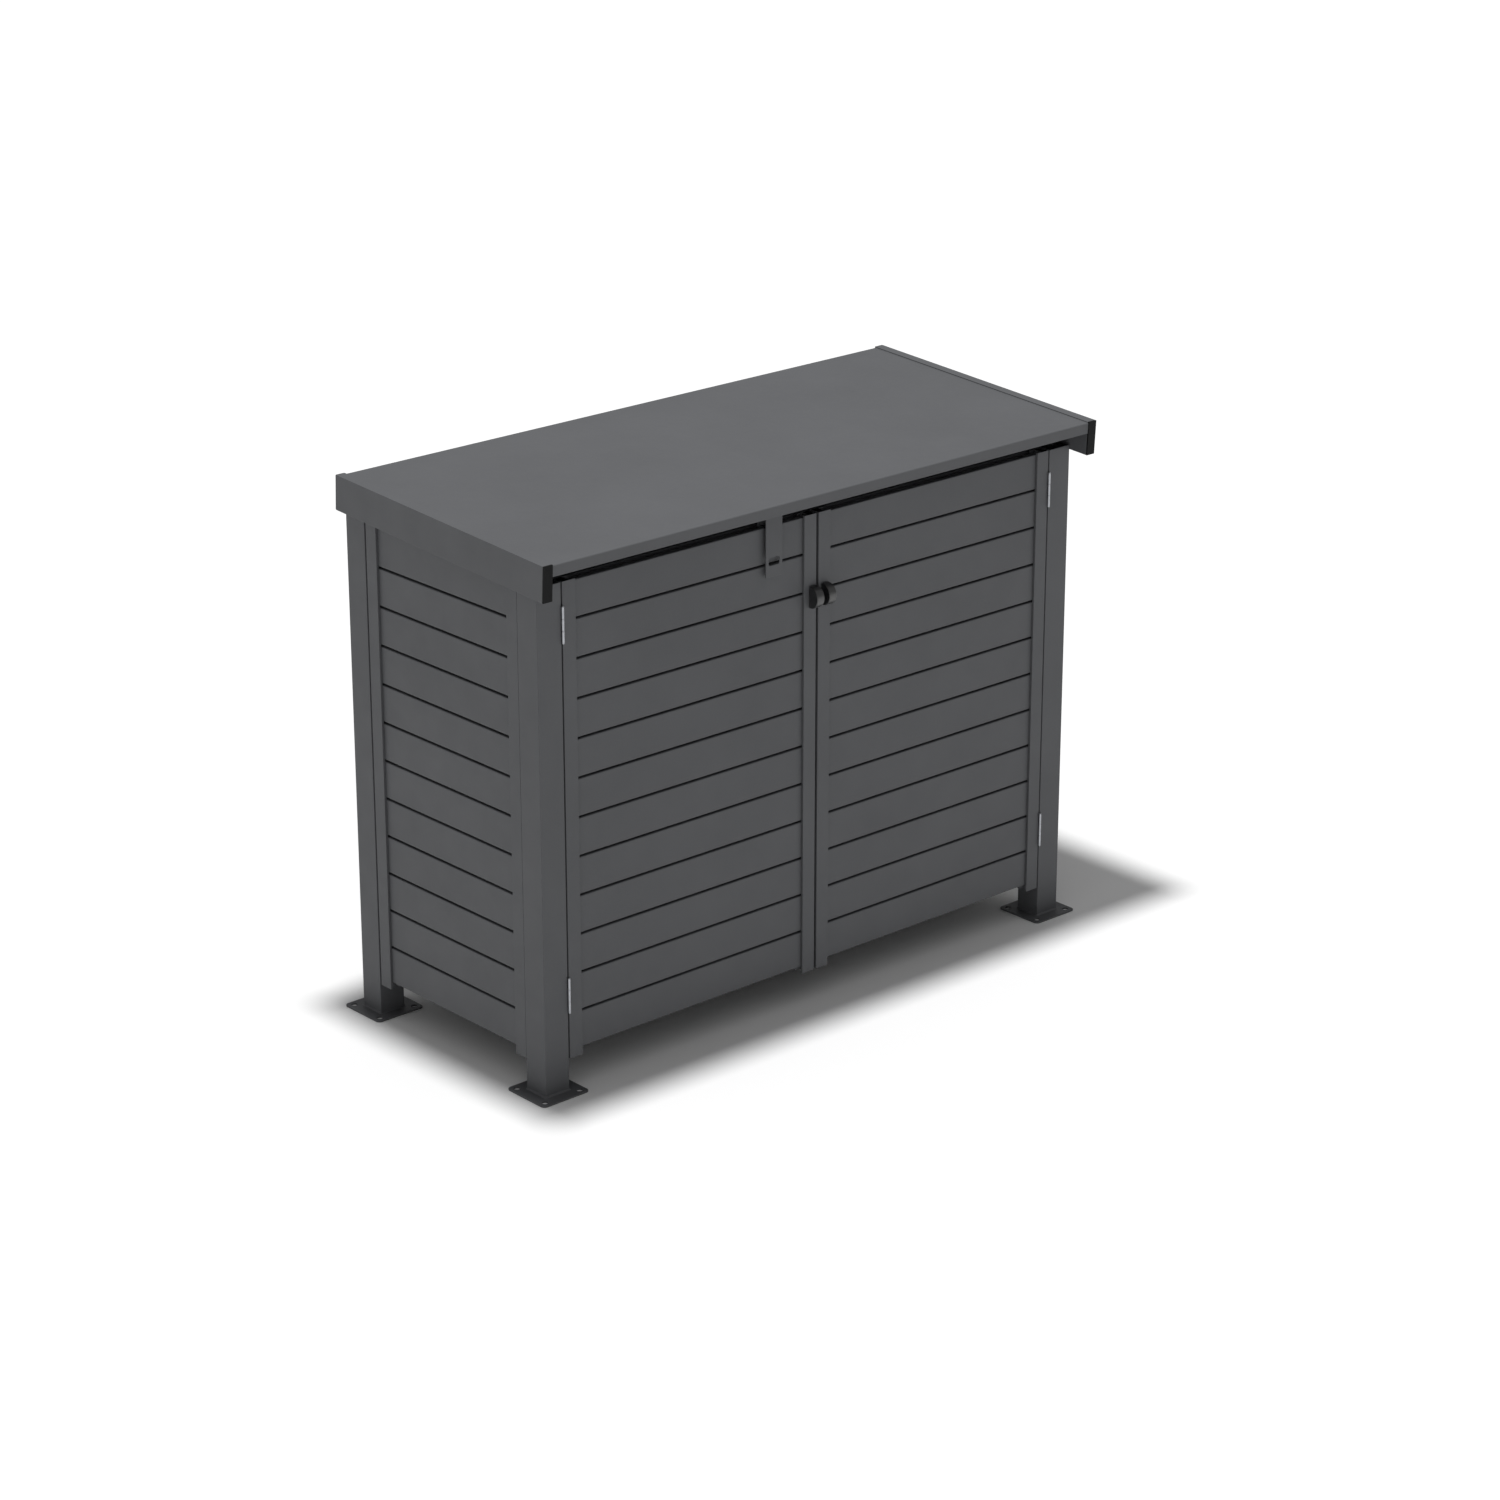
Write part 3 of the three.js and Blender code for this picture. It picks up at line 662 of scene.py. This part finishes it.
def grip_screws(hand):
    """Two screws that hold a grip, seen on the back of the stile."""
    grip_low, grip_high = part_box(f"{hand}_door_grip")
    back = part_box(f"{hand}_door_closing_stile")[1].y
    middle = (grip_low + grip_high) / 2
    mesh = bmesh.new()
    for up in (-GRIP_SCREWS_APART / 2, GRIP_SCREWS_APART / 2):
        button_screw(mesh, Vector((middle.x, back, middle.z + up)), Y)
    add_piece(f"{hand}_door_grip_screws", mesh, "hinge_steel", f"{hand}_door", material=SCREW_METAL)


def strike(hand):
    """The steel plate on a closing stile that its catch holds, with its screw below the catch."""
    catch_low, catch_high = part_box(f"{hand}_door_catch")
    stile_low, stile_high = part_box(f"{hand}_door_closing_stile")
    left = max(catch_low.x, stile_low.x) + STRIKE_INSET
    right = min(catch_high.x, stile_high.x) - STRIKE_INSET
    bottom = catch_low.z - STRIKE_BELOW
    face = stile_high.y + STRIKE_THICKNESS
    mesh = bmesh.new()
    block(mesh, (left, stile_high.y, bottom), (right, face, catch_high.z))
    name = f"{hand}_door_strike_plate"
    add_piece(name, mesh, "hinge_steel", f"{hand}_door", edge=STRIKE_EDGE)
    mesh = bmesh.new()
    button_screw(mesh, Vector(((left + right) / 2, face, bottom + STRIKE_BELOW / 2)), Y)
    add_piece(f"{name}_screw", mesh, "hinge_steel", f"{hand}_door", material=SCREW_METAL)


def catch_poles(hand):
    """The two steel pole faces of a magnetic catch, and the screws under it."""
    low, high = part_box(f"{hand}_door_catch")
    middle = (low + high) / 2
    mesh = bmesh.new()
    for up in (-POLES_APART / 2, POLES_APART / 2):
        bottom = middle.z + up - POLE_HEIGHT / 2
        near = (low.x + POLE_END, low.y - POLE_PROUD, bottom)
        far = (high.x - POLE_END, low.y + POLE_DEPTH, bottom + POLE_HEIGHT)
        block(mesh, near, far)
    for side in (-CATCH_SCREWS_APART / 2, CATCH_SCREWS_APART / 2):
        button_screw(mesh, Vector((middle.x + side, middle.y, low.z)), -Z, height=CATCH_SCREW_HEAD)
    add_piece(f"{hand}_door_catch_poles", mesh, "hinge_steel", "frame", material=SCREW_METAL)


def rivets(name, points, outwards, body):
    """One piece with a rivet at each point."""
    mesh = bmesh.new()
    for point in points:
        rivet(mesh, point, outwards)
    add_piece(name, mesh, "powder_coat", body)


def lid_hinge_rivets():
    """Rivets along both leaves of the lid's hinge."""
    low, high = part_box("lid_hinge_frame_leaf")
    axis = hinge_axis("lid_hinge")
    step = (high.x - low.x) / RIVET_COUNT
    across = [low.x + step * (index + 0.5) for index in range(RIVET_COUNT)]
    on_frame = [Vector((x, axis.y - PIANO_FACE, axis.z - PIANO_RIVET)) for x in across]
    rivets("lid_hinge_frame_rivets", on_frame, Y, "frame")
    place = lid_place()
    level = PIANO_RIVET - PIANO_DOWN
    on_lid = [place @ Vector((x, PIANO_ALONG - PIANO_FACE, level)) for x in across]
    rivets("lid_hinge_lid_rivets", on_lid, place.to_3x3() @ Y, "lid")


def back_rivets():
    """A rivet through each back slat into the upright behind it, and those that hold the strap."""
    low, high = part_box("back_slats")
    heights = [low.z + index * SLAT_PITCH + SLAT_HEIGHT / 2 for index in range(SLAT_COUNT)]
    rivets("back_slat_rivets", [Vector((0, high.y, z)) for z in heights], Y, "frame")
    low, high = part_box("left_door_lock_plate")
    middle = (low.x + high.x) / 2
    level = high.z - STRAP_LEG + STRAP_RIVETS_UP
    sides = (-STRAP_RIVETS_APART / 2, STRAP_RIVETS_APART / 2)
    points = [Vector((middle + side, high.y, level)) for side in sides]
    rivets("left_door_strap_rivets", points, Y, "left_door")


def lid_bracket(hand, sign, index, back):
    """An angle that joins a stiffener to a rail, with a screw in each leg."""
    place = lid_place()
    leg = BRACKET_LEG
    thick = BRACKET_THICKNESS
    bottom = -BRACKET_DOWN - BRACKET_HEIGHT
    corner = Vector((sign * (RAIL_INSIDE - CLEARANCE), back + CLEARANCE, 0))
    outline = [Vector((0, 0)), Vector((leg, 0)), Vector((leg, thick))]
    outline += [Vector((thick, thick)), Vector((thick, leg)), Vector((0, leg))]
    inwards = Vector((-sign, 0, 0))
    mesh = bmesh.new()
    prism(mesh, outline, place @ basis(corner + bottom * Z, inwards, Y, Z), BRACKET_HEIGHT)
    name = f"lid_{hand}_bracket_{index}"
    add_piece(name, mesh, "powder_coat", "lid", edge=BRACKET_EDGE)
    turn = place.to_3x3()
    middle = corner + (bottom + BRACKET_HEIGHT / 2) * Z
    reach = leg * BRACKET_SCREW
    mesh = bmesh.new()
    button_screw(mesh, place @ (middle + inwards * reach + Y * thick), turn @ Y)
    button_screw(mesh, place @ (middle + Y * reach + inwards * thick), turn @ inwards)
    add_piece(f"{name}_screws", mesh, "hinge_steel", "lid", material=SCREW_METAL)


def lid_end_plug(hand, sign):
    """The plug in the back end of a lid rail."""
    low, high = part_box("lid_left_rail_cap")
    x = sign * (RAIL_INSIDE + (high.x - low.x) / 2)
    centre = Vector((x, LID_LENGTH, -LID_RAIL_HEIGHT / 2))
    width = LID_RAIL_WIDTH / 2 - CLEARANCE
    height = LID_RAIL_HEIGHT / 2 - CLEARANCE
    place = lid_place() @ basis(centre, X, -Z, Y)
    rim = rounded_outline(rectangle(-width, -height, width, height), PLUG_CORNER)
    mesh = bmesh.new()
    prism(mesh, rim, place, LID_END_PLUG)
    name = f"lid_{hand}_rail_end_plug"
    add_piece(name, mesh, "black_plastic", "lid", edge=LID_END_PLUG_EDGE)


def spacers(hand):
    """Round spacers between a side panel and the back post."""
    low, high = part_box(f"{hand}_side_back_stile")
    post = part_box(f"back_{hand}_post")[0]
    middle = (low + high) / 2
    length = post.y - high.y
    mesh = bmesh.new()
    narrow = SPACER_RADIUS - SPACER_BEVEL
    rings = [(narrow, 0, None), (SPACER_RADIUS, length * 0.15, None)]
    rings += [(SPACER_RADIUS, length * 0.85, None), (narrow, length, None)]
    for share in SPACER_HEIGHTS:
        height = low.z + (high.z - low.z) * share
        turned(mesh, rings, facing(Vector((middle.x, high.y, height)), Y))
    add_piece(f"{hand}_side_spacers", mesh, "black_plastic", "frame")


def weld_bead(mesh, place, width, depth):
    """A rippled fillet of weld round a rectangular tube that stands on a face."""
    corners = rectangle(-width / 2, -depth / 2, width / 2, depth / 2)
    turns = rounded_outline(corners, WELD_CORNER, segments=3)
    loops = []
    for index, point in enumerate(turns):
        after = turns[(index + 1) % len(turns)]
        count = max(1, round((after - point).length / WELD_STEP))
        for part in range(count):
            spot = point.lerp(after, part / count)
            along = (after - point).normalized()
            outwards = Vector((along.y, -along.x))
            ripple = 0.08 * math.sin(2.4 * len(loops)) + 0.05 * math.sin(0.9 * len(loops))
            size = WELD * (1 + ripple)
            section = [(-WELD_SINK, 0), (size, 0), (size * 0.62, size * 0.36)]
            section += [(size * 0.36, size * 0.62), (0, size), (-WELD_SINK, size * 0.9)]
            loops.append([place @ Vector((*(spot + outwards * out), up)) for out, up in section])
    loft(mesh, loops, closed=True)


def post_weld(corner):
    """The weld between a post and its base plate."""
    low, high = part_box(f"{corner}_post")
    plate_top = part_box(f"{corner}_base_plate")[1].z
    centre = (low + high) / 2
    centre.z = plate_top
    mesh = bmesh.new()
    weld_bead(mesh, Matrix.Translation(centre), high.x - low.x, high.y - low.y)
    add_piece(f"{corner}_foot_weld", mesh, "powder_coat", "frame", smooth=60)


def rail_welds(rail, axis):
    """The welds at both ends of a top rail, on the faces of the posts."""
    low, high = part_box(rail)
    centre = (low + high) / 2
    size = high - low
    mesh = bmesh.new()
    for end, sign in ((low, 1), (high, -1)):
        point = centre.copy()
        point[axis] = end[axis] - sign * CLEARANCE
        outwards = (X, Y)[axis] * sign
        across = (Y, X)[axis]
        place = basis(point, across, outwards.cross(across), outwards)
        weld_bead(mesh, place, size[1 - axis], size.z)
    add_piece(f"{rail}_welds", mesh, "powder_coat", "frame", smooth=60)


# ---- Lid ----


def lid_place():
    """The lid's own axes: along X, back along the slope, and up from its rails' top line."""
    low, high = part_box("lid_left_rail_cap")
    origin = Vector((0, low.y, high.z - LID_CAP * math.sin(LID_SLOPE)))
    return Matrix.Translation(origin) @ Matrix.Rotation(LID_SLOPE, 4, "X")


def lid_sheet():
    """The lid's sheet, with its front lip and back flange folded down to a small radius."""
    low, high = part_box("lid_sheet")
    half = LID_SHEET / 2
    level = -LID_DROP - half
    front = LID_SHEET + half
    back = LID_LENGTH - half
    path = [
        Vector((front, -LID_DROP - LID_LIP)),
        Vector((front, level)),
        Vector((back, level)),
        Vector((back, -LID_DROP - LID_FLANGE)),
    ]
    outline = bent_sheet(path, SHEET_BEND, LID_SHEET)
    mesh = bmesh.new()
    place = lid_place() @ basis(Vector((low.x, 0, 0)), Y, Z, X)
    prism(mesh, outline, place, high.x - low.x)
    add_piece("lid_sheet_folded", mesh, "powder_coat", "lid", ["lid_sheet"])


# ---- Doors ----


def grip(node, body):
    """A half-round pull with flat sides and a soft rim."""
    low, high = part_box(node)
    radius = (high.z - low.z) / 2
    centre = Vector((low.x, low.y + radius, (low.z + high.z) / 2))
    stand = high.y - centre.y
    outline = [Vector((stand, -radius)), Vector((stand, radius))]
    for step in range(GRIP_STEPS + 1):
        angle = math.pi / 2 + math.pi * step / GRIP_STEPS
        outline.append(Vector((radius * math.cos(angle), radius * math.sin(angle))))
    mesh = bmesh.new()
    prism(mesh, outline, basis(centre, Y, Z, X), high.x - low.x)
    piece = add_piece(f"{node}_pull", mesh, "grip_plastic", body, [node], edge=GRIP_EDGE)
    piece.modifiers["edges"].segments = GRIP_EDGE_STEPS


def lock_plate():
    """The padlock strap, bent over the top of the left door, with its rounded slot."""
    low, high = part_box("left_door_lock_plate")
    half = STRAP_THICKNESS / 2
    path = [
        Vector((low.y + half, low.z)),
        Vector((low.y + half, high.z - half)),
        Vector((high.y - half, high.z - half)),
        Vector((high.y - half, high.z - STRAP_LEG)),
    ]
    outline = bent_sheet(path, STRAP_BEND, STRAP_THICKNESS)
    mesh = bmesh.new()
    prism(mesh, outline, basis(Vector((low.x, 0, 0)), Y, Z, X), high.x - low.x)
    replaced = ["left_door_lock_plate"]
    strap = add_piece("left_door_padlock_strap", mesh, "powder_coat", "left_door", replaced)
    width, height, corner = STRAP_SLOT
    window = rectangle(-width / 2, -height / 2, width / 2, height / 2)
    slot = rounded_outline(window, corner, segments=6)
    middle = Vector(((low.x + high.x) / 2, low.y - STRAP_THICKNESS, low.z + STRAP_SLOT_UP))
    cut_hole(strap, slot, basis(middle, X, Z, Y), 3 * STRAP_THICKNESS)
    round_edges(strap, STRAP_EDGE)


def cut_hole(piece, outline, place, depth):
    """Cuts an outline out of a piece, applies the cut and leaves the piece without modifiers."""
    mesh = bmesh.new()
    prism(mesh, outline, place, depth)
    bmesh.ops.recalc_face_normals(mesh, faces=mesh.faces)
    data = bpy.data.meshes.new("cutter")
    mesh.to_mesh(data)
    mesh.free()
    cutter = bpy.data.objects.new("cutter", data)
    bpy.context.scene.collection.objects.link(cutter)
    hole = piece.modifiers.new("hole", "BOOLEAN")
    hole.object = cutter
    hole.solver = "EXACT"
    bpy.context.view_layer.update()
    evaluated = piece.evaluated_get(bpy.context.evaluated_depsgraph_get())
    piece.data = bpy.data.meshes.new_from_object(evaluated)
    piece.modifiers.clear()
    bpy.data.objects.remove(cutter)


# ---- The whole store ----

# The slats of each panel, with the body it rides on and its two stiles.
PANELS = {
    "left_door_slats": ("left_door", ["left_door_hinge_stile", "left_door_closing_stile"]),
    "right_door_slats": ("right_door", ["right_door_hinge_stile", "right_door_closing_stile"]),
    "left_side_slats": ("frame", ["left_side_front_stile", "left_side_back_stile"]),
    "right_side_slats": ("frame", ["right_side_front_stile", "right_side_back_stile"]),
    "back_slats": ("frame", ["back_left_stile", "back_right_stile"]),
}

# Each top rail and the axis it runs along: 0 for X, 1 for Y.
TOP_RAILS = {"front_top_rail": 0, "back_top_rail": 0, "left_top_rail": 1, "right_top_rail": 1}

for slats, (body, stiles) in PANELS.items():
    slatted_panel(slats, body)
    for stile in stiles:
        stile_plugs(stile, slats)
lid_sheet()
lock_plate()
lid_hinge_rivets()
back_rivets()
for hand, sign in (("left", -1), ("right", 1)):
    grip(f"{hand}_door_grip", f"{hand}_door")
    grip_screws(hand)
    strike(hand)
    catch_poles(hand)
    lid_end_plug(hand, sign)
    spacers(hand)
    for index, back in enumerate(STIFFENER_BACKS):
        lid_bracket(hand, sign, index + 1, back)
    for level in ("lower", "upper"):
        hinge_screws(hand, level, "post", sign)
        hinge_screws(hand, level, "door", -sign)
    for end in ("front", "back"):
        post_weld(f"{end}_{hand}")
for rail, axis in TOP_RAILS.items():
    rail_welds(rail, axis)

for node in frame["nodes"].values():
    if not node.hide_render:
        finish_cad_node(node)

# ---- Floor, light and camera ----


def floor():
    """A pale matt floor."""
    mesh = bmesh.new()
    bmesh.ops.create_grid(mesh, x_segments=1, y_segments=1, size=FLOOR_REACH)
    data = bpy.data.meshes.new("floor")
    mesh.to_mesh(data)
    mesh.free()
    material, tree, shader = new_material("floor_look", specular=0.0)
    cloud = noise(tree, 3.0, detail=2)
    colour = mix(tree, remap(tree, cloud, 0, 1), *FLOOR_GREYS)
    tree.links.new(colour, shader.inputs["Base Color"])
    shader.inputs["Roughness"].default_value = 0.9
    data.materials.append(material)
    plane = bpy.data.objects.new("floor", data)
    bpy.context.scene.collection.objects.link(plane)


def lights():
    """An even white dome, and a lamp whose light is equally strong all over the floor."""
    world = bpy.data.worlds.new("studio")
    world.use_nodes = True
    background = world.node_tree.nodes["Background"]
    background.inputs["Color"].default_value = (1, 1, 1, 1)
    background.inputs["Strength"].default_value = WORLD_STRENGTH
    bpy.context.scene.world = world
    lamp = bpy.data.lights.new("overhead", "POINT")
    lamp.energy = LAMP_ENERGY
    lamp.shadow_soft_size = LAMP_RADIUS
    lamp.use_nodes = True
    tree = lamp.node_tree
    direction = add_node(tree, "ShaderNodeTexCoord").outputs["Normal"]
    down = add_node(tree, "ShaderNodeSeparateXYZ", {0: direction}).outputs["Z"]
    slant = add_node(tree, "ShaderNodeMath", {0: down}, operation="ABSOLUTE").outputs[0]
    wide = add_node(tree, "ShaderNodeMath", {0: 1.0, 1: slant}, operation="DIVIDE").outputs[0]
    even = add_node(tree, "ShaderNodeLightFalloff", {"Strength": wide})
    tree.links.new(even.outputs["Constant"], tree.nodes["Emission"].inputs["Strength"])
    soft_lamp = bpy.data.objects.new("overhead", lamp)
    soft_lamp.location = LAMP_PLACE
    bpy.context.scene.collection.objects.link(soft_lamp)


def camera():
    """The camera of the main view."""
    lens = bpy.data.cameras.new("camera")
    lens.lens = CAMERA_LENS
    lens.sensor_width = CAMERA_SENSOR
    eye = bpy.data.objects.new("camera", lens)
    eye.location = CAMERA_PLACE
    level = math.cos(CAMERA_ELEVATION)
    x = math.sin(CAMERA_AZIMUTH) * level
    y = -math.cos(CAMERA_AZIMUTH) * level
    back = Vector((x, y, math.sin(CAMERA_ELEVATION)))
    eye.rotation_euler = back.to_track_quat("Z", "Y").to_euler()
    bpy.context.scene.collection.objects.link(eye)
    bpy.context.scene.camera = eye


floor()
lights()
camera()
bpy.context.scene.view_settings.view_transform = "Standard"
